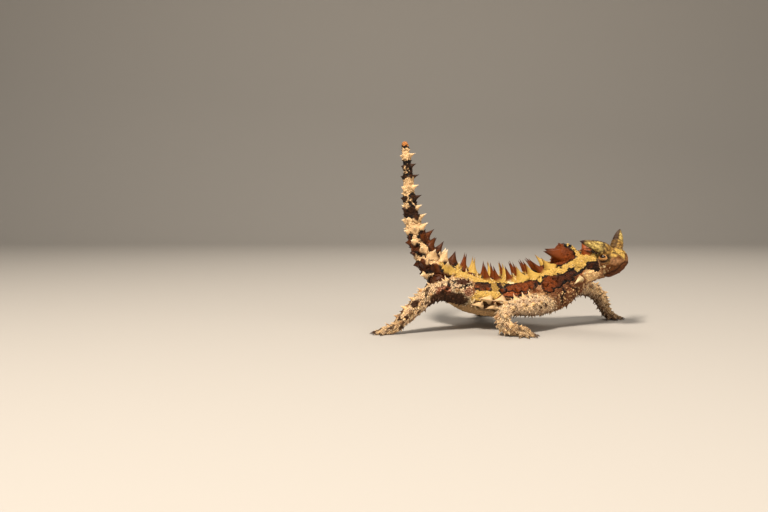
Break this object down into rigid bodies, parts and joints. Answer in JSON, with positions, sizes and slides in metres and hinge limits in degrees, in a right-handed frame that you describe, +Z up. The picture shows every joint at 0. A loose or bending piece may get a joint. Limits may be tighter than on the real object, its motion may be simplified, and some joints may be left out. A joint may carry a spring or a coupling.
{
  "type": "thorny devil lizard model",
  "caption": "Life-size still thorny devil standing with its tail curled up, its head turned aside, horns over the eyes and rows of spines on back, tail and legs.",
  "frame": {"origin": "on the floor plane under the middle of the whole animal's box", "axes": "+X runs from the tail to the head, +Y is the animal's left side, +Z is up from the floor"},
  "size_m": [0.1446, 0.0913, 0.0988],
  "materials": {
    "body_skin": "dry keeled scales, rust brown patches edged in black between sand yellow stripes",
    "head_skin": "fine granular scales, brown with yellow brows and pale lip granules",
    "tail_skin": "dry ringed scales and spines, cream and dark brown bands",
    "limb_skin": "beaded dry scales, cream with tan and dark brown between the beads",
    "horn": "satin scaly horn, yellow brown with a dark tip",
    "eye": "wet gloss, nearly black"
  },
  "bodies": {
    "root": {"head": "head_skin", "eye_left": "eye", "eye_right": "eye", "horn_left": "horn", "horn_right": "horn", "neck": "body_skin", "trunk": "body_skin", "nape_hump": "body_skin", "tail_base": "tail_skin", "tail_middle": "tail_skin", "tail_end": "tail_skin", "upper_arm_left": "limb_skin", "upper_arm_right": "limb_skin", "forearm_left": "limb_skin", "forearm_right": "limb_skin", "hand_left": "limb_skin", "hand_right": "limb_skin", "thigh_left": "limb_skin", "thigh_right": "limb_skin", "shank_left": "limb_skin", "shank_right": "limb_skin", "foot_left": "limb_skin", "foot_right": "limb_skin"}
  },
  "joints": []
}
